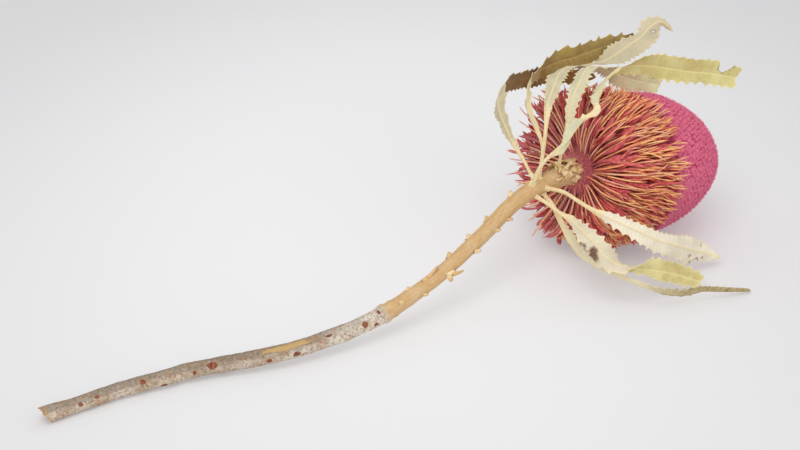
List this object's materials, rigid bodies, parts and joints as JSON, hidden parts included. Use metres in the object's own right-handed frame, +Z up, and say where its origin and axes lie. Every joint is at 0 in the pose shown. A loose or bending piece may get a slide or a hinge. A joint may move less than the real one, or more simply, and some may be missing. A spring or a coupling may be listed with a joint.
{
  "type": "banksia flower",
  "caption": "Dried banksia flower lying as cut: bent woody stem, toothed leaves, a skirt of open orange and rose florets and a dome of closed magenta buds.",
  "frame": {"origin": "middle of the bounding box's footprint, on the surface that the flower lies on", "axes": "+X from the cut end of the stem towards the flower head, +Z up from the surface"},
  "size_m": [0.3697, 0.1382, 0.0956],
  "materials": {
    "stem_wood": "dry bark, grey-brown at the cut end and tan near the flower",
    "style_orange": "dry, smooth, a little waxy",
    "perianth_rose": "dry and softly hairy",
    "bud_magenta": "dry and felted",
    "leaf_pale": "dry, matt, pale felted underside",
    "leaf_olive": "dry, slightly leathery upper side"
  },
  "bodies": {
    "root": {"stem": "stem_wood", "rachis_and_styles": "style_orange", "perianths": "perianth_rose", "bud_dome": "bud_magenta", "leaf_1": "leaf_olive", "leaf_2": "leaf_olive", "leaf_3": "leaf_pale", "leaf_4": "leaf_pale", "leaf_5": "leaf_olive", "leaf_6": "leaf_pale", "leaf_7": "leaf_pale", "leaf_8": "leaf_pale"}
  },
  "joints": []
}
